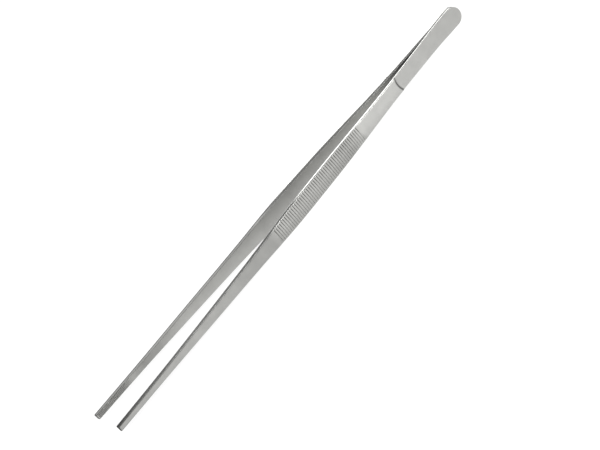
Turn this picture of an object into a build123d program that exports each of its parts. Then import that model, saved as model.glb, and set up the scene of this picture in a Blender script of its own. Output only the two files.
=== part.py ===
"""Long straight aquascaping tweezers: two spring-steel leaves lapped and welded at the head.

The tweezers lie on their side edge. +X runs from the tips to the head, the front leaf is on the
-Y side, and +Z is across the width of the leaves. The origin is under the middle of the length,
half-way between the leaves, at the level of the widest edges. All sizes are in millimetres.

A station is a distance from the head end, measured along the tweezers. An offset is a distance
from the middle plane between the leaves. Each leaf is one strip of steel, divided here where it
changes its job: the welded heel, the thin spring that bends, and the stiff grip, arm and jaw
that swing. The rear leaf is the mirror image of the front one.
"""

import os
from math import atan, cos, degrees, pi, sqrt

from build123d import *

# ---- driving dimensions ----
LENGTH = 300.0  # head end to tips
HEAD_RADIUS = 5.6  # round end of the head, and half the head's width
GRIP_HALF_WIDTH = 5.6  # the widest place, which the tweezers lie on
TIP_HALF_WIDTH = 1.8
TIP_SLOPE = -0.009  # slope of the leaf's edge where it reaches the tip
TIP_CORNER = 0.6  # corner radius of the square-cut tip
SHEET = 1.7  # thickness of the heel and the spring
SPLAY = 0.061  # slope of each leaf away from the middle plane
BOW_RADIUS = 4700.0  # gentle curve of the lower leaf back towards parallel

# ---- stations ----
LAP_END = 18.0  # the leaves touch from the head end to here
HEEL_END = 19.0
BEND_END = 26.0  # the leaves have bent apart by here
SPRING_END = 54.0
STEP_EDGE = 55.8  # the curved shoulder where the grip rises from the spring, at the edges
STEP_MIDDLE = 56.8  # and on the centre line
STEP_HALF_CHORD = 4.7  # half the leaf's width at the shoulder
BOW_START = 86.0
RIDGE_START = 92.0
WIDEST_START = 122.0  # straight edges run between these two stations
WIDEST_END = 141.0
RIDGE_END = 165.4
GRIP_END = 168.0
ARM_END = 266.0
TOOTH_START = 266.8
TOOTH_END = 299.2

# ---- the leaf's half width and thickness along its length, as (station, size) ----
NECK_EDGE = ((20.0, 5.22), (40.0, 4.8), (70.0, 4.7), (98.0, 5.27))
TAPER_EDGE = ((158.0, 5.3), (175.0, 4.5), (195.0, 3.8), (225.0, 3.05), (262.0, 2.2))
THICKNESS = ((SPRING_END, 2.4), (95.0, 3.0), (LENGTH, 2.9))

# ---- edges, cross ridges of the grip and teeth of the jaw ----
STIFF_ROUND = 0.45  # outer long edges of the grip, arm and jaw
SHEET_ROUND = 0.2  # outer edges of the heel and the spring
RIDGE_PITCH = 1.525
RIDGE_WIDTH = 1.0
RIDGE_DEPTH = 0.45
TOOTH_PITCH = 0.65
TOOTH_WIDTH = 0.45
TOOTH_DEPTH = 0.28

# ---- weld nuggets between the two heels ----
WELD_STATIONS = (6.5, 14.0)
WELD_RADIUS = 2.2
WELD_HALF_THICKNESS = 0.45

WIDTH = 2 * GRIP_HALF_WIDTH
SIDE = Plane((0, 0, GRIP_HALF_WIDTH), x_dir=(1, 0, 0), z_dir=(0, -1, 0))
REACH = 20.0  # how far blanks and cutting tools run past the leaf
OUTER_SPANS = 10  # even steps of the curve along the stiff part's outer face
FACING_OUT = -0.9  # the normal of a leaf's outer face points along -Y


# ---- the leaf's curves ----
def at(station, across=0.0):
    """A point in a sketch, from its station and its distance across."""
    return (LENGTH / 2 - station, across)


def inner_offset(station):
    """Distance of a leaf's inner face from the middle plane."""
    if station <= LAP_END:
        return 0.0
    bend = BEND_END - LAP_END
    if station <= BEND_END:
        return SPLAY * (station - LAP_END) ** 2 / (2 * bend)
    bowed = max(0.0, station - BOW_START)
    straight = SPLAY * (bend / 2 + station - BEND_END)
    return straight - BOW_RADIUS + sqrt(BOW_RADIUS**2 - bowed**2)


def thickness(station):
    """Thickness of the grip, arm and jaw, eased from each stated place to the next."""
    for (start, first), (end, last) in zip(THICKNESS, THICKNESS[1:]):
        if station <= end:
            ease = (1 - cos(pi * (station - start) / (end - start))) / 2
            return first + (last - first) * ease
    return THICKNESS[-1][1]


def outer_offset(station):
    """Distance of the stiff part's outer face from the middle plane."""
    return inner_offset(station) + thickness(station)


def slope(offset, station):
    """Slope of a face against the middle plane."""
    step = 0.05
    return (offset(station + step) - offset(station - step)) / (2 * step)


def groove_places(offset, start, end, pitch):
    """Where a row of grooves crosses the front leaf's face, each turned with the face."""
    count = int((end - start) / pitch) + 1
    stations = [start + pitch * i for i in range(count)]
    return [
        Location((*at(s, -offset(s)), 0), (0, 0, degrees(atan(slope(offset, s)))))
        for s in stations
    ]


def outer_edges(part):
    """The long edges round a blank's outer face."""
    faces = part.faces().filter_by(lambda face: face.normal_at().Y < FACING_OUT)
    return faces.edges().filter_by(Axis.Z, reverse=True)


# ---- the outline of a leaf, seen square on ----
with BuildSketch(SIDE) as outline:
    with BuildLine():
        neck = [at(HEAD_RADIUS, HEAD_RADIUS)]
        neck += [at(*point) for point in NECK_EDGE]
        neck += [at(WIDEST_START, GRIP_HALF_WIDTH)]
        Spline(neck, tangents=[(-1, 0), (-1, 0)])
        Line(at(WIDEST_START, GRIP_HALF_WIDTH), at(WIDEST_END, GRIP_HALF_WIDTH))
        taper = [at(WIDEST_END, GRIP_HALF_WIDTH)]
        taper += [at(*point) for point in TAPER_EDGE]
        taper += [at(LENGTH, TIP_HALF_WIDTH)]
        Spline(taper, tangents=[(-1, 0), (-1, TIP_SLOPE)])
        Line(at(LENGTH, TIP_HALF_WIDTH), at(LENGTH))
        mirror(about=Plane.XZ)
        ThreePointArc(at(HEAD_RADIUS, HEAD_RADIUS), at(0), at(HEAD_RADIUS, -HEAD_RADIUS))
    make_face()
    fillet(outline.vertices().group_by(Axis.X)[0], TIP_CORNER)

# ---- the side profile of the front leaf's heel and spring ----
with BuildSketch(Plane.XY) as sheet_profile:
    with BuildLine():
        bend_middle = (LAP_END + BEND_END) / 2
        for extra in (0.0, SHEET):
            Line(at(0, -extra), at(LAP_END, -extra))
            ThreePointArc(
                at(LAP_END, -extra),
                at(bend_middle, -inner_offset(bend_middle) - extra),
                at(BEND_END, -inner_offset(BEND_END) - extra),
            )
            Line(
                at(BEND_END, -inner_offset(BEND_END) - extra),
                at(SPRING_END, -inner_offset(SPRING_END) - extra),
            )
        Line(at(0), at(0, -SHEET))
        Line(
            at(SPRING_END, -inner_offset(SPRING_END)),
            at(SPRING_END, -inner_offset(SPRING_END) - SHEET),
        )
    make_face()

# ---- the side profile of the front leaf's stiff part ----
with BuildSketch(Plane.XY) as stiff_profile:
    with BuildLine():
        bow_middle = (BOW_START + LENGTH) / 2
        Line(
            at(SPRING_END, -inner_offset(SPRING_END)),
            at(BOW_START, -inner_offset(BOW_START)),
        )
        ThreePointArc(
            at(BOW_START, -inner_offset(BOW_START)),
            at(bow_middle, -inner_offset(bow_middle)),
            at(LENGTH, -inner_offset(LENGTH)),
        )
        Line(at(LENGTH, -inner_offset(LENGTH)), at(LENGTH, -outer_offset(LENGTH)))
        span = (LENGTH - SPRING_END) / OUTER_SPANS
        stations = [SPRING_END + span * i for i in range(OUTER_SPANS + 1)]
        Spline([at(s, -outer_offset(s)) for s in stations])
        Line(
            at(SPRING_END, -outer_offset(SPRING_END)),
            at(SPRING_END, -inner_offset(SPRING_END)),
        )
    make_face()

# ---- weld nuggets: two flat beads of fused steel, half in each heel ----
with BuildPart() as spot_welds:
    with BuildSketch(SIDE):
        with Locations(*[at(station) for station in WELD_STATIONS]):
            Circle(WELD_RADIUS)
    extrude(amount=WELD_HALF_THICKNESS, both=True)

# ---- the front leaf's heel and spring as one strip ----
with BuildPart() as sheet_blank:
    extrude(outline.sketch, amount=REACH)
    extrude(sheet_profile.sketch, amount=WIDTH, mode=Mode.INTERSECT)
    fillet(outer_edges(sheet_blank), SHEET_ROUND)

with BuildPart() as front_heel:
    add(sheet_blank.part)
    split(bisect_by=Plane.YZ.offset(LENGTH / 2 - HEEL_END), keep=Keep.TOP)
    add(spot_welds.part, mode=Mode.SUBTRACT)

with BuildPart() as front_spring:
    add(sheet_blank.part)
    split(bisect_by=Plane.YZ.offset(LENGTH / 2 - HEEL_END), keep=Keep.BOTTOM)

# ---- the shoulder: the stiff part is no thicker than the spring inside a round ended cut ----
step_rise = STEP_MIDDLE - STEP_EDGE
step_radius = (STEP_HALF_CHORD**2 + step_rise**2) / (2 * step_rise)
with BuildPart() as shoulder_cut:
    with BuildSketch(SIDE):
        with Locations(at(STEP_MIDDLE - step_radius)):
            Circle(step_radius)
    extrude(amount=REACH)
    with BuildSketch(Plane.XY):
        with BuildLine():
            before = SPRING_END - REACH
            after = SPRING_END + REACH
            Polyline(
                at(before, -inner_offset(before) - SHEET),
                at(after, -inner_offset(after) - SHEET),
                at(after, -REACH),
                at(before, -REACH),
                close=True,
            )
        make_face()
    extrude(amount=WIDTH, mode=Mode.INTERSECT)

# ---- cross ridges: a row of V grooves over the outer face of the grip ----
with BuildSketch(Plane.XY) as ridge_grooves:
    with Locations(groove_places(outer_offset, RIDGE_START, RIDGE_END, RIDGE_PITCH)):
        Polygon(
            (0, RIDGE_DEPTH),
            (-RIDGE_WIDTH, -RIDGE_DEPTH),
            (RIDGE_WIDTH, -RIDGE_DEPTH),
            align=None,
        )

# ---- fine teeth: a row of V grooves over the inner face of the jaw ----
with BuildSketch(Plane.XY) as tooth_grooves:
    with Locations(groove_places(inner_offset, TOOTH_START, TOOTH_END, TOOTH_PITCH)):
        Polygon(
            (0, -TOOTH_DEPTH),
            (-TOOTH_WIDTH, TOOTH_DEPTH),
            (TOOTH_WIDTH, TOOTH_DEPTH),
            align=None,
        )

# ---- the front leaf's grip, arm and jaw as one strip ----
with BuildPart() as stiff_blank:
    extrude(outline.sketch, amount=REACH)
    extrude(stiff_profile.sketch, amount=WIDTH, mode=Mode.INTERSECT)
    fillet(outer_edges(stiff_blank), STIFF_ROUND)

with BuildPart() as front_grip:
    add(stiff_blank.part)
    split(bisect_by=Plane.YZ.offset(LENGTH / 2 - GRIP_END), keep=Keep.TOP)
    add(shoulder_cut.part, mode=Mode.SUBTRACT)
    extrude(ridge_grooves.sketch, amount=WIDTH, mode=Mode.SUBTRACT)

with BuildPart() as front_arm:
    add(stiff_blank.part)
    split(bisect_by=Plane.YZ.offset(LENGTH / 2 - GRIP_END), keep=Keep.BOTTOM)
    split(bisect_by=Plane.YZ.offset(LENGTH / 2 - ARM_END), keep=Keep.TOP)

with BuildPart() as front_jaw:
    add(stiff_blank.part)
    split(bisect_by=Plane.YZ.offset(LENGTH / 2 - ARM_END), keep=Keep.BOTTOM)
    extrude(tooth_grooves.sketch, amount=WIDTH, mode=Mode.SUBTRACT)

# ---- the rear leaf: the same five zones on the other side of the middle plane ----
with BuildPart() as rear_heel:
    mirror(front_heel.part, about=Plane.XZ)

with BuildPart() as rear_spring:
    mirror(front_spring.part, about=Plane.XZ)

with BuildPart() as rear_grip:
    mirror(front_grip.part, about=Plane.XZ)

with BuildPart() as rear_arm:
    mirror(front_arm.part, about=Plane.XZ)

with BuildPart() as rear_jaw:
    mirror(front_jaw.part, about=Plane.XZ)

# ---- one STEP file for each node ----
NODES = {
    "spot_welds": spot_welds,
    "front_heel": front_heel,
    "front_spring": front_spring,
    "front_grip": front_grip,
    "front_arm": front_arm,
    "front_jaw": front_jaw,
    "rear_heel": rear_heel,
    "rear_spring": rear_spring,
    "rear_grip": rear_grip,
    "rear_arm": rear_arm,
    "rear_jaw": rear_jaw,
}
os.makedirs("parts", exist_ok=True)
for node, built in NODES.items():
    built.part.label = node
    export_step(built.part, f"parts/{node}.step")
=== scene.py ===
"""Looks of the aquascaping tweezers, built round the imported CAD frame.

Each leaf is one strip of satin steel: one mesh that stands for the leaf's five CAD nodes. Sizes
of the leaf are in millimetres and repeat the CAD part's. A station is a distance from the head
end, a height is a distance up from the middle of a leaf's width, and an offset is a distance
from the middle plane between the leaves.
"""

import math
from types import SimpleNamespace

import bmesh
import bpy
import numpy as np
from mathutils import Matrix, Vector


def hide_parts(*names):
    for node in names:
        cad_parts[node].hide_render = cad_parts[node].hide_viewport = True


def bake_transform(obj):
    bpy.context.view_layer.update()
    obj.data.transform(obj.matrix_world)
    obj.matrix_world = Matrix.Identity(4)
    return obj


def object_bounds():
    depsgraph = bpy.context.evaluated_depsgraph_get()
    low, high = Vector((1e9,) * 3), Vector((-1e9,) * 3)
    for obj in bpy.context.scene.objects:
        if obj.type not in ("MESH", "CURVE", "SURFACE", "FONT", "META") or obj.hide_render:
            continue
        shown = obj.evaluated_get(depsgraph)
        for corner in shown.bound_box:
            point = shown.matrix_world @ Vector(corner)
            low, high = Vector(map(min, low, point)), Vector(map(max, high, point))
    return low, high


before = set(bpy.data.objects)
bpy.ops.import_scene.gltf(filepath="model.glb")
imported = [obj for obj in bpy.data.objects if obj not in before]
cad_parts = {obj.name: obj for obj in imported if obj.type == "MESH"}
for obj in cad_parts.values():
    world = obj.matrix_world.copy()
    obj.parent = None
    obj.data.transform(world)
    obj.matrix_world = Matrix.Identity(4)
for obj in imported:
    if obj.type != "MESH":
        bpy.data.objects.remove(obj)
cad_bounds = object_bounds()

# ---- the leaf's sizes, as in the CAD part ----
MM = 0.001
FRONT, REAR = -1, 1  # the side of the middle plane that a leaf is on
UPPER, LOWER = 1, -1  # its two side edges
HEAD_END = cad_bounds[1].x
LENGTH = (cad_bounds[1].x - cad_bounds[0].x) / MM
MID_HEIGHT = (cad_bounds[0].z + cad_bounds[1].z) / 2
HEAD_RADIUS = 5.6
GRIP_HALF_WIDTH = (cad_bounds[1].z - cad_bounds[0].z) / 2 / MM
TIP_HALF_WIDTH = 1.8
TIP_SLOPE = -0.009
TIP_CORNER = 0.6
SHEET = 1.7
SPLAY = 0.061
BOW_RADIUS = 4700.0
LAP_END = 18.0
BEND_END = 26.0
SPRING_END = 54.0
STEP_EDGE = 55.8
STEP_BULGE = 1.0
BOW_START = 86.0
WIDEST_START = 122.0
WIDEST_END = 141.0
NECK_EDGE = ((20.0, 5.22), (40.0, 4.8), (70.0, 4.7), (98.0, 5.27))  # (station, half width)
TAPER_EDGE = ((158.0, 5.3), (175.0, 4.5), (195.0, 3.8), (225.0, 3.05), (262.0, 2.2))
THICKNESS = ((SPRING_END, 2.4), (95.0, 3.0), (LENGTH, 2.9))  # (station, thickness)

# ---- rounding of the real steel, which the CAD part has sharp or simpler ----
SHEET_ROUND = 0.2  # radius of the outer edges of the heel and spring
STIFF_ROUND = 0.45  # and of the grip, arm and jaw
# polishing has eased the front leaf's upper edge past the grip, as (station, radius)
FRONT_UPPER_ROUND = ((132.0, STIFF_ROUND), (148.0, 0.85), (185.0, 1.0))
INNER_ROUND = 0.16
EDGE_GAP = 0.01  # a side edge's points stop this far short of the inner face or a tooth's floor
WALL_CROWN = 0.05  # how far the side edges fall away from their middle line
WALL_DRAFT = 0.07  # slope of the side edges, which makes the inner face the narrower one
FACE_CROWN = 0.14  # how far the outer face falls away from its centre line
FACET_START = 0.5  # share of a side edge where its facet beside the inner face begins
FACET_SLOPE = 0.1
STEP_FADE = 4.0  # rows this near the shoulder curve with it
STEP_RISE = (  # shoulder profile, as (distance from the shoulder, share of the rise)
    (-1.0, 0.0), (-0.7, 0.0), (-0.52, 0.03), (-0.32, 0.13), (-0.12, 0.42), (0.04, 0.7),
    (0.2, 0.88), (0.36, 0.97), (0.6, 1.0), (0.85, 1.0),
)

# ---- cross ridges and teeth. A profile is one groove, as (distance from its middle, share) ----
RIDGES = SimpleNamespace(
    start=92.0,
    end=165.4,
    pitch=1.525,
    depth=0.45,
    profile=(
        (-0.56, 0.0), (-0.44, 0.12), (-0.12, 0.78), (0.0, 0.95),
        (0.12, 0.78), (0.44, 0.12), (0.56, 0.0), (0.76, 0.0),
    ),
)
TEETH = SimpleNamespace(
    start=266.8,
    end=299.2,
    pitch=0.65,
    depth=0.28,
    profile=((-0.22, 0.0), (-0.09, 0.62), (0.0, 0.95), (0.09, 0.62), (0.22, 0.0), (0.32, 0.0)),
)
TOOTH_FADE = 12.0  # the first teeth are shallower over this length
LEAST_TOOTH = 0.3  # share of its depth that the first tooth has

# ---- reflectance along a leaf, as (station, reflectance): lighter on the plain grip, darker on the arm ----
OUTER_REFLECTANCE = (
    (0.0, 0.42), (27.0, 0.43), (40.0, 0.455), (54.0, 0.455), (59.0, 0.53), (90.0, 0.525),
    (96.0, 0.48), (104.0, 0.42), (117.0, 0.45), (131.0, 0.465), (164.0, 0.46), (170.0, 0.345),
    (190.0, 0.345), (205.0, 0.38), (235.0, 0.4), (LENGTH, 0.375),
)
# on the inner faces it holds painted shade, darkest near the head where the leaves meet, and
# dipping before the teeth
INNER_SHADED_REFLECTANCE = (
    (0.0, 0.22), (46.0, 0.25), (57.0, 0.46), (66.0, 0.56), (76.0, 0.555), (90.0, 0.52),
    (104.0, 0.48), (120.0, 0.45), (145.0, 0.405), (186.0, 0.44), (217.0, 0.44), (235.0, 0.43),
    (250.0, 0.34), (262.0, 0.3), (272.0, 0.44), (LENGTH, 0.46),
)
STEEL_BLUE = 0.965  # the steel's blue reflectance, as a share of its red and green
CLOUD_SHADE = (0.95, 1.05)  # how far faint clouds darken and brighten it
CLOUD_SPREAD = (0.3, 0.7)  # most of the clouds' noise lies between these
SATIN_ROUGHNESS = (0.26, 0.36)  # outer faces, from streak to streak
INNER_ROUGHNESS = 0.5
EDGE_ROUGHNESS = 0.11
EDGE_TURN = (0.75, 0.95)  # a surface facing this much up or down turns from face to edge
STREAK_SCALE = (120, 2600, 2600)  # noise per metre: long streaks, along the leaf
CLOUD_SCALE = 160.0
GRAIN_SCALE = 5200.0
GRAIN_HEIGHT = 0.00002  # in metres
GRAIN_STRENGTH = 0.25
WELD_TINTS = ((0.36, 0.33, 0.28, 1), (0.5, 0.48, 0.46, 1))
WELD_SCALE = 900.0
WELD_ROUGHNESS = (0.35, 0.55)

# ---- painted light and shade: 0 leaves the reflectance as stated, 1 is dark painted shade, and less than 0 is a painted highlight ----
FULL_PAINTED_SHADE = 0.78  # the share of its reflectance that full painted shade takes
# the strongest painted highlight
BRIGHTEST_PAINTED_LIGHT = -1.4
RIDGE_TOP_SHADING = ((-1.0, 0.32), (0.0, 0.06), (0.5, -0.6), (1.0, -1.3))  # painted shade at the ridges' lower ends and painted highlight towards the upper edge, as (place across, painted shading)
# painted shade in the ridges' hollows, darkest towards the upper edge, as (place across, painted
# shade)
RIDGE_HOLLOW_SHADE = ((-1.0, 0.05), (0.0, 0.2), (0.5, 0.75), (0.8, 1.2), (1.0, 1.2))
# painted shade on the plain grip's lower side and painted light on its upper side, as (place
# across, painted shading)
GRIP_SHADING_ACROSS = ((-1.0, 0.17), (0.0, 0.0), (1.0, -0.08))
GRIP_ZONE = ((56.0, 0.0), (60.0, 1.0), (90.0, 1.0), (92.0, 0.0))  # the plain part where that painted shading lies, as (station, share)
STEP_REACH = 0.9  # the painted shade in the shoulder's corner reaches this far to each side
STEP_PAINTED_SHADE = 1.05  # more than 1 keeps the middle of it wholly in painted shade
STEP_SHARE = 0.5  # share of a side edge's depth painted in shade there too
CORNER_HIGHLIGHT = (  # painted highlight on the upper corner of the grip and ridges, as (station, highlight)
    (54.0, 0.0), (58.0, 0.6), (85.0, 0.6), (92.0, 1.0), (130.0, 1.0), (150.0, 0.0),
)
CORNER_REACH = 0.27  # how far that painted highlight reaches on the outer face, as a share of the half width
CORNER_SHARE = 1 / 3  # and on the upper edge, as a share of its depth
FACET_HIGHLIGHT = ((120.0, 0.0), (135.0, 1.2), (175.0, 1.2), (190.0, 0.0))  # painted highlight on the upper edge's facet, as (station, highlight)
FACET_SHARE = 0.6  # share of the upper edge's depth where that painted highlight begins
SHARED_EDGE_SHADING = ((0.0, -0.95), (18.0, -0.95), (24.0, 0.0), (240.0, 0.0))  # as far as the arm, both leaves' edges alike, with a painted highlight on the heels' edges
EDGE_PAINTED_SHADING = {  # painted shading of the side edges, darkening towards the tip, as (station, painted shading)
    FRONT: (*SHARED_EDGE_SHADING, (290.0, 0.6), (299.0, 0.85), (LENGTH, 1.0)),
    REAR: (*SHARED_EDGE_SHADING, (262.0, 0.12), (290.0, 0.12), (299.0, 0.2), (LENGTH, 1.0)),
}
END_PAINTED_SHADE = 0.9  # where a side edge's painted shade passes this, at the tip's end, the inner face is painted in shade too

# ---- mesh fineness ----
ROW_SPACING = 2.0
CORNER_CLEAR = 0.05  # the tip's corner starts with no other row this near
ARC_STEPS = 5
HEAD_STEPS = 24
QUARTER = math.radians(90)
WALL_STEPS = (0.25, 0.5, 0.65, 0.71)  # points on a side edge between its two roundings
# places across a face, from -1 at its lower edge to 1 at its upper one
ACROSS = np.array((-1.0, -0.97, -0.75, -0.45, -0.15, 0.15, 0.45, 0.75, 0.97, 1.0))
RAISED = (1 + ACROSS) / 2  # the same places, as shares of the way up
DOME = 1 - ACROSS**2  # a crown's share of its full height there
STATION, HEIGHT, OFFSET, PAINTED_SHADING, INNER = range(5)  # what each point of a leaf's grid has; the fourth is its painted light and shade
MERGE_DISTANCE = 2e-6  # in metres, as is the next
LEAST_EDGE = 1e-7
SHARP_ANGLE = math.radians(38)


# ---- the leaf's curves ----
def from_table(table, places):
    """The sizes that a table of (place, size) gives for an array of places."""
    return np.interp(places, *np.array(table).T)


def spline(points, start_slope, end_slope):
    """A smooth curve through (station, size) points, for an array of stations."""
    at, size = np.array(points, float).T
    gap = np.diff(at)
    count = len(at)
    matrix = np.eye(count)
    wanted = np.zeros(count)
    wanted[0], wanted[-1] = start_slope, end_slope
    rise = np.diff(size) / gap**2
    for i in range(1, count - 1):
        matrix[i, i - 1] = 1 / gap[i - 1]
        matrix[i, i] = 2 / gap[i - 1] + 2 / gap[i]
        matrix[i, i + 1] = 1 / gap[i]
        wanted[i] = 3 * (rise[i - 1] + rise[i])
    slopes = np.linalg.solve(matrix, wanted)

    def curve(station):
        k = np.clip(np.searchsorted(at, station) - 1, 0, count - 2)
        t = (station - at[k]) / gap[k]
        ends = (1 + 2 * t) * (1 - t) ** 2 * size[k] + t * t * (3 - 2 * t) * size[k + 1]
        turns = t * (1 - t) ** 2 * slopes[k] + t * t * (t - 1) * slopes[k + 1]
        return ends + gap[k] * turns

    return curve


neck_curve = spline(
    ((HEAD_RADIUS, HEAD_RADIUS), *NECK_EDGE, (WIDEST_START, GRIP_HALF_WIDTH)), 0, 0
)
taper_curve = spline(
    ((WIDEST_END, GRIP_HALF_WIDTH), *TAPER_EDGE, (LENGTH, TIP_HALF_WIDTH)), 0, TIP_SLOPE
)


def half_width(station):
    """Half of a leaf's width, away from its round head and its tip corners."""
    edge = np.where(station < WIDEST_START, neck_curve(station), GRIP_HALF_WIDTH)
    return np.where(station > WIDEST_END, taper_curve(station), edge)


def width_slope(station):
    """How fast the half width grows along the leaf."""
    step = 0.01
    return (half_width(station + step) - half_width(station - step)) / (2 * step)


def inner_offset(station):
    """Distance of a leaf's inner face from the middle plane."""
    bend = BEND_END - LAP_END
    bent = SPLAY * np.clip(station - LAP_END, 0, bend) ** 2 / (2 * bend)
    bowed = np.maximum(0, station - BOW_START)
    straight = SPLAY * np.maximum(0, station - BEND_END)
    return bent + straight - BOW_RADIUS + np.sqrt(BOW_RADIUS**2 - bowed**2)


def stiff_thickness(station):
    """Thickness of the grip, arm and jaw, eased from each stated place to the next."""
    places, sizes = np.array(THICKNESS).T
    k = np.clip(np.searchsorted(places, station) - 1, 0, len(places) - 2)
    share = np.clip((station - places[k]) / (places[k + 1] - places[k]), 0, 1)
    return sizes[k] + (sizes[k + 1] - sizes[k]) * (1 - np.cos(np.pi * share)) / 2


def edge_depth(station, rise):
    """Distance between a leaf's faces at its side edges.

    rise goes from 0 before the shoulder to 1 past it.
    """
    stiff = stiff_thickness(np.maximum(station, SPRING_END))
    return SHEET + (stiff - SHEET) * rise - FACE_CROWN * rise


# ---- the rows of a leaf, from head end to tip ----
def groove_rows(run):
    """Depth at the station of each row that a run of grooves needs."""
    middles = np.arange(int((run.end - run.start) / run.pitch) + 1) * run.pitch + run.start
    return {middle + away: run.depth * share for middle in middles for away, share in run.profile}


def leaf_rows():
    """Columns of each row's sizes.

    They are its station, half width, outline normal (along, across), rise, depth of its side
    edges, and depth of its ridge groove and tooth.
    """
    ridges = groove_rows(RIDGES)
    teeth = groove_rows(TEETH)
    step = {STEP_EDGE + away: share for away, share in STEP_RISE}
    detailed = [*ridges, *teeth, *step]
    corner_start = LENGTH - TIP_CORNER
    plain = np.arange(HEAD_RADIUS, corner_start, ROW_SPACING)
    clear = [s for s in plain if np.abs(np.array(detailed) - s).min() > ROW_SPACING / 3]
    body_end = corner_start - CORNER_CLEAR
    body = np.array(sorted(s for s in [*clear, *detailed] if s < body_end))

    turn = QUARTER * np.arange(HEAD_STEPS) / HEAD_STEPS
    corner = QUARTER * np.arange(ARC_STEPS + 1) / ARC_STEPS
    slope = width_slope(body)
    scale = np.hypot(1, slope)
    tip_edge = float(half_width(np.array(corner_start)))
    station = np.concatenate([
        HEAD_RADIUS * (1 - np.cos(turn)), body, corner_start + TIP_CORNER * np.sin(corner)
    ])
    width = np.concatenate([
        HEAD_RADIUS * np.sin(turn), half_width(body),
        tip_edge - TIP_CORNER * (1 - np.cos(corner)),
    ])
    along = np.concatenate([-np.cos(turn), -slope / scale, np.sin(corner)])
    across = np.concatenate([np.sin(turn), 1 / scale, np.cos(corner)])
    rise = from_table(sorted(step.items()), station)
    groove = np.array([ridges.get(s, 0.0) for s in station])
    tooth = np.array([teeth.get(s, 0.0) for s in station])
    tooth = tooth * np.clip((station - TEETH.start) / TOOTH_FADE, LEAST_TOOTH, 1)
    columns = dict(
        station=station, width=width, along=along, across=across, rise=rise,
        depth=edge_depth(station, rise), groove=groove, tooth=tooth,
    )
    return SimpleNamespace(**{name: values[:, None] for name, values in columns.items()})


# ---- the points round a leaf ----
def side_profile(rows, side, stiff_round):
    """A side edge's points, from the outer face round to the inner face.

    Returns how far in from the outline and how far below the outer face each one lies.
    """
    turn = QUARTER * np.arange(ARC_STEPS + 1) / ARC_STEPS
    outer_round = SHEET_ROUND + (stiff_round - SHEET_ROUND) * rows.rise
    wall = rows.depth - outer_round - INNER_ROUND
    wall_drop = outer_round + wall * WALL_STEPS
    drop = np.hstack([
        outer_round * (1 - np.cos(turn)), wall_drop,
        rows.depth - INNER_ROUND * (1 - np.sin(turn)),
    ])
    inset = np.hstack([
        outer_round * (1 - np.sin(turn)), np.zeros_like(wall_drop),
        np.repeat([INNER_ROUND * (1 - np.cos(turn))], len(wall_drop), 0),
    ])
    facet = (drop - outer_round) / wall - FACET_START
    inset = inset + FACET_SLOPE * wall * np.clip(facet, 0, 1 - FACET_START)
    inset = inset + WALL_CROWN * (2 * drop / rows.depth - 1) ** 2

    # both heels' edges are ground as one plane, and further on each leaf narrows inwards
    apart = np.clip((rows.station - LAP_END) / (BEND_END - LAP_END), 0, 1)
    lean = 1 if side == FRONT else 2 * apart - 1
    inset = inset + WALL_DRAFT * (rows.depth / 2 + lean * (drop - rows.depth / 2))

    return inset, np.minimum(np.maximum(drop, rows.groove), rows.depth - rows.tooth - EDGE_GAP)


def side_edge(rows, side, up):
    """Grids of a side edge's points. drop is how far below the outer face they lie."""
    eased = side == FRONT and up == UPPER
    stiff_round = from_table(FRONT_UPPER_ROUND, rows.station) if eased else STIFF_ROUND
    inset, drop = side_profile(rows, side, stiff_round)
    station = rows.station - rows.along * inset
    height = up * (rows.width - rows.across * inset)
    offset = inner_offset(station) + rows.depth - drop
    return SimpleNamespace(station=station, height=height, offset=offset, drop=drop)


def step_painted_shade(rows):
    """Painted shade in the shoulder's corner."""
    away = np.clip((rows.station - STEP_EDGE) / STEP_REACH, -1, 1)
    return np.clip(STEP_PAINTED_SHADE * np.cos(QUARTER * away), 0, 1)


def outer_light_and_shade(rows):
    """Painted light and shade of the outer face: painted shade in the ridges' hollows, the
    shoulder's corner and the plain grip's lower side, and painted highlights on the ridges' tops
    and the upper corner.
    """
    ridged = (rows.station > RIDGES.start - 1) & (rows.station < RIDGES.end + 1)
    hollow = rows.groove / RIDGES.depth
    tops = from_table(RIDGE_TOP_SHADING, ACROSS)
    ridge_shading = tops + (from_table(RIDGE_HOLLOW_SHADE, ACROSS) - tops) * hollow
    grip_shading = from_table(GRIP_ZONE, rows.station) * from_table(GRIP_SHADING_ACROSS, ACROSS)
    # where the painted highlight on the upper corner lies
    corner = np.clip(1 - (1 - ACROSS) / CORNER_REACH, 0, 1) * (1 - hollow)
    painted_shading = ridged * ridge_shading + grip_shading + step_painted_shade(rows)
    return np.maximum(painted_shading - from_table(CORNER_HIGHLIGHT, rows.station) * corner, BRIGHTEST_PAINTED_LIGHT)


def edge_light_and_shade(rows, side, up, drop):
    """Painted shading of a side edge, with painted shade at the shoulder's corner. The upper one
    also has a painted highlight on its corner and facet.
    """
    edge_shade = from_table(EDGE_PAINTED_SHADING[side], rows.station)
    painted_shading = np.maximum(edge_shade, step_painted_shade(rows) * (drop < STEP_SHARE * rows.depth))
    if up == UPPER:
        painted_shading = painted_shading - from_table(CORNER_HIGHLIGHT, rows.station) * (drop < CORNER_SHARE * rows.depth)
        painted_shading = painted_shading - from_table(FACET_HIGHLIGHT, rows.station) * (drop > FACET_SHARE * rows.depth)
    return painted_shading


def inner_painted_shade(rows, side):
    """Painted shade of the inner face: between the teeth, and at the tip's end."""
    edge_shade = from_table(EDGE_PAINTED_SHADING[side], rows.station)
    painted_shading = np.maximum(rows.tooth / TEETH.depth, edge_shade * (edge_shade > END_PAINTED_SHADE))
    return np.repeat(painted_shading, len(ACROSS), 1)


def ring(outer, upper, inner, lower):
    """The grids of the four sides as one, once round the leaf."""
    return np.hstack([outer, upper[:, 1:-1], inner[:, ::-1], lower[:, -2:0:-1]])


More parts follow.
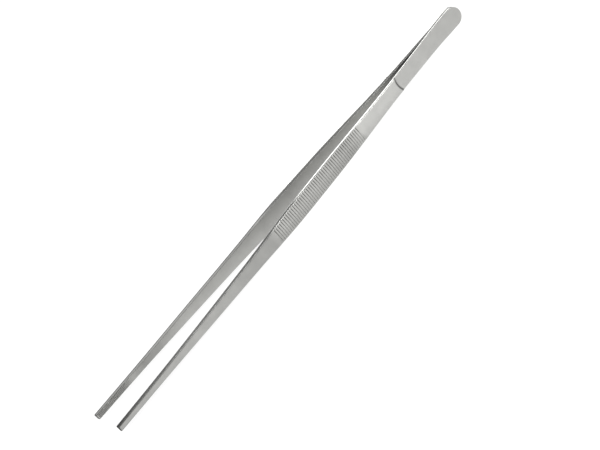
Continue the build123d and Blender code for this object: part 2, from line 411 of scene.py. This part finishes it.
def leaf_rings(rows, side):
    """Grid of a leaf's points, each with all that STATION to INNER name.

    One line for each row goes once round the leaf: the outer face from lower to upper edge, the
    upper edge, the inner face back, and the lower edge.
    """
    upper, lower = side_edge(rows, side, UPPER), side_edge(rows, side, LOWER)

    def face(name, end):
        """Places across a face, between the edges' first (0) or last (-1) points."""
        low, high = getattr(lower, name)[:, [end]], getattr(upper, name)[:, [end]]
        return low + (high - low) * RAISED

    near_step = np.clip(1 - np.abs(rows.station - STEP_EDGE) / STEP_FADE, 0, 1)
    bulge = STEP_BULGE * near_step * near_step * (3 - 2 * near_step)
    outer_at = face("station", 0) + bulge * DOME
    outer_offset = inner_offset(outer_at) + rows.depth + FACE_CROWN * rows.rise * DOME
    inner_at = face("station", -1)
    edge_flag = np.zeros_like(upper.station)
    rings = {
        STATION: ring(outer_at, upper.station, inner_at, lower.station),
        HEIGHT: ring(face("height", 0), upper.height, face("height", -1), lower.height),
        OFFSET: ring(
            outer_offset - rows.groove, upper.offset,
            inner_offset(inner_at) + rows.tooth, lower.offset,
        ),
        PAINTED_SHADING: ring(
            outer_light_and_shade(rows), edge_light_and_shade(rows, side, UPPER, upper.drop),
            inner_painted_shade(rows, side), edge_light_and_shade(rows, side, LOWER, lower.drop),
        ),
        INNER: ring(np.zeros_like(outer_at), edge_flag, np.ones_like(inner_at), edge_flag),
    }
    return np.stack([rings[column] for column in range(len(rings))], axis=-1)


def tip_cap(last_ring):
    """Grid of the tip's square end, between the two side edges of its last ring."""
    corner = len(ACROSS) - 1
    levels = len(last_ring) // 2 - len(ACROSS) + 2
    upper = last_ring[corner:corner + levels]
    lower = last_ring[-np.arange(levels)]
    cap = lower[:, None] + (upper - lower)[:, None] * RAISED[:, None]

    # the cap follows the crown of the outer face, and less so further in
    offset = upper[:, OFFSET]
    share = (offset - offset[-1]) / (offset[0] - offset[-1])
    crown = last_ring[:corner + 1, OFFSET] - cap[0, :, OFFSET]
    cap[:, :, OFFSET] += share[:, None] * crown
    # the tip's end face is painted wholly in shade
    cap[:, :, PAINTED_SHADING] = 1.0
    cap[:, :, INNER] = 0.0
    return cap


# ---- the leaf's mesh ----
def grid_quads(lines, columns, start=0, closed=False):
    """Faces of a grid of points, whose first point has the index start."""
    quads = []
    for i in range(lines - 1):
        for j in range(columns if closed else columns - 1):
            a = start + i * columns + j
            b = start + i * columns + (j + 1) % columns
            quads.append((a, b, b + columns, a + columns))
    return quads


def clean(mesh):
    """Join the points that meet, remove faces with no size, and turn the others outwards."""
    work = bmesh.new()
    work.from_mesh(mesh)
    bmesh.ops.remove_doubles(work, verts=work.verts, dist=MERGE_DISTANCE)
    bmesh.ops.dissolve_degenerate(work, edges=work.edges, dist=LEAST_EDGE)
    bmesh.ops.recalc_face_normals(work, faces=work.faces)
    work.to_mesh(mesh)
    work.free()


def leaf_object(name, side):
    """A leaf's object with its mesh, whose attributes the steel reads: its painted light and
    shade, and inner_face.
    """
    rings = leaf_rings(leaf_rows(), side)
    cap = tip_cap(rings[-1])
    count, around, columns = rings.shape
    points = np.vstack([rings.reshape(-1, columns), cap.reshape(-1, columns)])
    at, height, offset, painted_shading, inner = points.T
    xyz = np.stack([HEAD_END - at * MM, side * offset * MM, MID_HEIGHT + height * MM], axis=1)
    quads = grid_quads(count, around, closed=True)
    quads += grid_quads(len(cap), len(ACROSS), start=count * around)

    mesh = bpy.data.meshes.new(name)
    mesh.from_pydata(xyz.tolist(), [], quads)
    for label, values in (("painted_shading", painted_shading), ("inner_face", inner)):
        mesh.attributes.new(label, "FLOAT", "POINT").data.foreach_set("value", values)
    clean(mesh)
    mesh.polygons.foreach_set("use_smooth", [True] * len(mesh.polygons))
    mesh.set_sharp_from_angle(angle=SHARP_ANGLE)
    leaf = bpy.data.objects.new(name, mesh)
    bpy.context.scene.collection.objects.link(leaf)
    return leaf


# ---- materials ----
def fill_ramp(node, stops):
    """Give a Color Ramp node its (position, colour) stops, the first at 0 and the last at 1."""
    elements = node.color_ramp.elements
    elements[0].color = stops[0][1]
    elements[-1].color = stops[-1][1]
    for position, colour in stops[1:-1]:
        elements.new(position).color = colour


class Nodes:
    """Short names for building a material's node tree."""

    def __init__(self, name):
        self.material = bpy.data.materials.new(name)
        self.material.use_nodes = True
        self.tree = self.material.node_tree
        self.shader = self.tree.nodes["Principled BSDF"]

    def add(self, kind, **values):
        """A new node. Each value goes to the input of that name, or to the node's setting."""
        node = self.tree.nodes.new(kind)
        for key, value in values.items():
            if key in node.inputs:
                node.inputs[key].default_value = value
            else:
                setattr(node, key, value)
        return node

    def link(self, start, end):
        self.tree.links.new(start, end)

    def noise(self, vector, **values):
        """The output of a Noise Texture node."""
        node = self.add("ShaderNodeTexNoise", **values)
        self.link(vector, node.inputs["Vector"])
        return node.outputs["Fac"]

    def math(self, operation, *values):
        """The output of a Math node."""
        node = self.add("ShaderNodeMath", operation=operation)
        for pin, value in zip(node.inputs, values):
            self.link(value, pin)
        return node.outputs["Value"]

    def split(self, vector):
        """The outputs of a Separate XYZ node."""
        node = self.add("ShaderNodeSeparateXYZ")
        self.link(vector, node.inputs["Vector"])
        return node.outputs

    def ramp(self, value, stops):
        """The colour output of a Color Ramp node, from (position, colour) stops."""
        node = self.add("ShaderNodeValToRGB")
        fill_ramp(node, stops)
        self.link(value, node.inputs["Fac"])
        return node.outputs["Color"]

    def remap(self, value, low, high, to_low, to_high, kind="LINEAR"):
        """The output of a Map Range node. Either end of the new range may be a socket."""
        node = self.add("ShaderNodeMapRange", interpolation_type=kind)
        node.inputs["From Min"].default_value = low
        node.inputs["From Max"].default_value = high
        self.link(value, node.inputs["Value"])
        for label, end in (("To Min", to_low), ("To Max", to_high)):
            if isinstance(end, bpy.types.NodeSocket):
                self.link(end, node.inputs[label])
            else:
                node.inputs[label].default_value = end
        return node.outputs["Result"]


def reflectance_colour(n, along, inner):
    """The steel's colour by its place along the leaf, on outer and inner faces. On the inner faces
    it holds painted shade.
    """
    mix = n.add("ShaderNodeMix", data_type="RGBA")
    pins = {pin.identifier: pin for pin in (*mix.inputs, *mix.outputs)}
    n.link(inner, pins["Factor_Float"])
    for pin, zones in ((pins["A_Color"], OUTER_REFLECTANCE), (pins["B_Color"], INNER_SHADED_REFLECTANCE)):
        colours = [(at / LENGTH, (shine, shine, shine * STEEL_BLUE, 1)) for at, shine in zones]
        n.link(n.ramp(along, colours), pin)
    return pins["Result_Color"]


def satin_steel():
    """Satin-finished stainless steel with a fine lengthwise grain."""
    n = Nodes("satin_steel")
    n.shader.inputs["Metallic"].default_value = 1.0
    place = n.add("ShaderNodeTexCoord").outputs
    stretched = n.add("ShaderNodeMapping", Scale=STREAK_SCALE)
    n.link(place["Object"], stretched.inputs["Vector"])
    streaks = n.noise(stretched.outputs["Vector"], Scale=1.0, Detail=4.0, Roughness=0.6)
    cloud = n.noise(place["Object"], Scale=CLOUD_SCALE, Detail=3.0)
    grain = n.noise(place["Object"], Scale=GRAIN_SCALE, Detail=2.0)
    painted_shading = n.add("ShaderNodeAttribute", attribute_name="painted_shading").outputs["Fac"]
    inner = n.add("ShaderNodeAttribute", attribute_name="inner_face").outputs["Fac"]

    # reflectance along the length: lighter plain grip, darker arm, and painted shade on the inner
    # faces towards the head
    x = n.split(place["Object"])["X"]
    along = n.remap(x, HEAD_END, HEAD_END - LENGTH * MM, 0, 1)
    reflectance = reflectance_colour(n, along, inner)

    # faint clouds, and the painted light and shade: painted shade in hollows, corners and towards
    # the tip, painted highlights on ridges and edges
    clouds = n.remap(cloud, *CLOUD_SPREAD, *CLOUD_SHADE)
    shade_factor = n.remap(painted_shading, 0, 1, 1, 1 - FULL_PAINTED_SHADE)
    tint = n.add("ShaderNodeVectorMath", operation="SCALE")
    n.link(reflectance, tint.inputs[0])
    n.link(n.math("MULTIPLY", clouds, shade_factor), tint.inputs["Scale"])
    n.link(tint.outputs["Vector"], n.shader.inputs["Base Color"])

    # the ground edges are smoother than the satin outer faces, and the inner faces are rougher
    edge = n.math("ABSOLUTE", n.split(place["Normal"])["Z"])
    satin = n.remap(streaks, 0, 1, *SATIN_ROUGHNESS)
    face = n.remap(inner, 0, 1, satin, INNER_ROUGHNESS)
    rough = n.remap(edge, *EDGE_TURN, face, EDGE_ROUGHNESS, "SMOOTHSTEP")
    n.link(rough, n.shader.inputs["Roughness"])

    bump = n.add("ShaderNodeBump", Strength=GRAIN_STRENGTH, Distance=GRAIN_HEIGHT)
    n.link(n.math("ADD", streaks, grain), bump.inputs["Height"])
    n.link(bump.outputs["Normal"], n.shader.inputs["Normal"])
    return n.material


def weld_steel():
    """Fused steel of the spot welds, with a heat tint."""
    n = Nodes("weld_steel")
    n.shader.inputs["Metallic"].default_value = 1.0
    place = n.add("ShaderNodeTexCoord").outputs
    cloud = n.noise(place["Object"], Scale=WELD_SCALE, Detail=4.0)
    n.link(n.ramp(cloud, list(enumerate(WELD_TINTS))), n.shader.inputs["Base Color"])
    n.link(n.remap(cloud, 0, 1, *WELD_ROUGHNESS), n.shader.inputs["Roughness"])
    return n.material


# ---- the leaves ----
steel = satin_steel()
for name, side in (("front", FRONT), ("rear", REAR)):
    leaf = leaf_object(f"{name}_leaf_strip", side)
    leaf.data.materials.append(steel)
    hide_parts(*[f"{name}_{zone}" for zone in ("heel", "spring", "grip", "arm", "jaw")])
    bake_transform(leaf)

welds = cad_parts["spot_welds"]
welds.data.materials.clear()
welds.data.materials.append(weld_steel())

# ---- floor: it glows faintly, which gives the photograph's clean white surround ----
FLOOR_RADIUS = 4.0
FLOOR_GAP = 0.00005  # keeps the leaves' lower edges clear of it
FLOOR_FINISH = {
    "Base Color": (0.25, 0.25, 0.25, 1),
    "Emission Color": (1, 1, 1, 1),
    "Emission Strength": 0.85,
    "Roughness": 0.9,
    "Specular IOR Level": 0.1,
}


def make_floor():
    """A round pale floor under the object."""
    mesh = bpy.data.meshes.new("floor")
    work = bmesh.new()
    bmesh.ops.create_circle(work, cap_ends=True, segments=96, radius=FLOOR_RADIUS)
    work.to_mesh(mesh)
    work.free()
    floor = bpy.data.objects.new("floor", mesh)
    floor.location.z = cad_bounds[0].z - FLOOR_GAP
    bpy.context.scene.collection.objects.link(floor)
    n = Nodes("pale_floor")
    for label, value in FLOOR_FINISH.items():
        n.shader.inputs[label].default_value = value
    mesh.materials.append(n.material)
    return floor


floor = make_floor()

# ---- studio light: two softboxes in front, and panels behind that the side edges mirror ----
LIGHTS = (  # name, place, target, (width, height), radiance
    ("front_left_softbox", (-1.3, -1.3, 1.3), (0, 0, 0), (1.4, 1.4), 4.5),
    ("front_right_softbox", (1.3, -1.2, 1.3), (0, 0, 0), (1.4, 1.4), 5.0),
    ("back_panel", (0.5, 1.05, 0.34), (0.25, 0, 0.3), (0.46, 0.38), 3.4),
    ("upper_back_panel", (-0.12, 0.95, 1.0), (0, 0, 0), (0.7, 0.55), 0.6),
)
WORLD_LIGHT = (  # from the horizon and below it, 0, to straight up, 1, as (height, radiance)
    (0.0, 1.6), (0.06, 1.5), (0.14, 0.22), (0.45, 0.22), (0.6, 0.4), (1.0, 0.35),
)


def area_light(name, place, target, size, radiance):
    """A soft rectangular light. Its radiance is what a mirror would show."""
    data = bpy.data.lights.new(name, "AREA")
    data.shape = "RECTANGLE"
    data.size, data.size_y = size
    data.energy = radiance * math.pi * size[0] * size[1]
    lamp = bpy.data.objects.new(name, data)
    lamp.location = place
    lamp.rotation_mode = "QUATERNION"
    lamp.rotation_quaternion = (Vector(target) - Vector(place)).to_track_quat("-Z", "Y")
    lamp.visible_camera = False
    bpy.context.scene.collection.objects.link(lamp)


def make_world():
    """Surroundings whose brightness depends on the height of the direction."""
    world = bpy.data.worlds.new("studio")
    bpy.context.scene.world = world
    world.use_nodes = True
    tree = world.node_tree
    background = tree.nodes["Background"]
    direction = tree.nodes.new("ShaderNodeTexCoord")
    split = tree.nodes.new("ShaderNodeSeparateXYZ")
    ramp = tree.nodes.new("ShaderNodeValToRGB")
    stops = [(height, (radiance, radiance, radiance, 1)) for height, radiance in WORLD_LIGHT]
    fill_ramp(ramp, stops)
    tree.links.new(direction.outputs["Generated"], split.inputs["Vector"])
    tree.links.new(split.outputs["Z"], ramp.inputs["Fac"])
    tree.links.new(ramp.outputs["Color"], background.inputs["Color"])


for light in LIGHTS:
    area_light(*light)
make_world()

# ---- camera at the photograph's viewing angle ----
CAMERA_PLACE = (-0.30144, -1.16156, 0.62288)
CAMERA_RIGHT = (0.62839, -0.49012, -0.60408)
CAMERA_UP = (0.74538, 0.1572, 0.64784)
CAMERA_BACK = (-0.22256, -0.85736, 0.46411)
LENS = 150.0
SENSOR_WIDTH = 36.0


def make_camera():
    """A long lens, turned so that the lying tweezers stand in the picture."""
    data = bpy.data.cameras.new("camera")
    data.lens = LENS
    data.sensor_width = SENSOR_WIDTH
    data.clip_start = 0.01
    data.clip_end = 50.0
    camera = bpy.data.objects.new("camera", data)
    turn = Matrix((CAMERA_RIGHT, CAMERA_UP, CAMERA_BACK)).transposed()
    camera.matrix_world = Matrix.Translation(CAMERA_PLACE) @ turn.to_4x4()
    bpy.context.scene.collection.objects.link(camera)
    return camera


bpy.context.scene.camera = make_camera()
bpy.context.scene.view_settings.view_transform = "Standard"
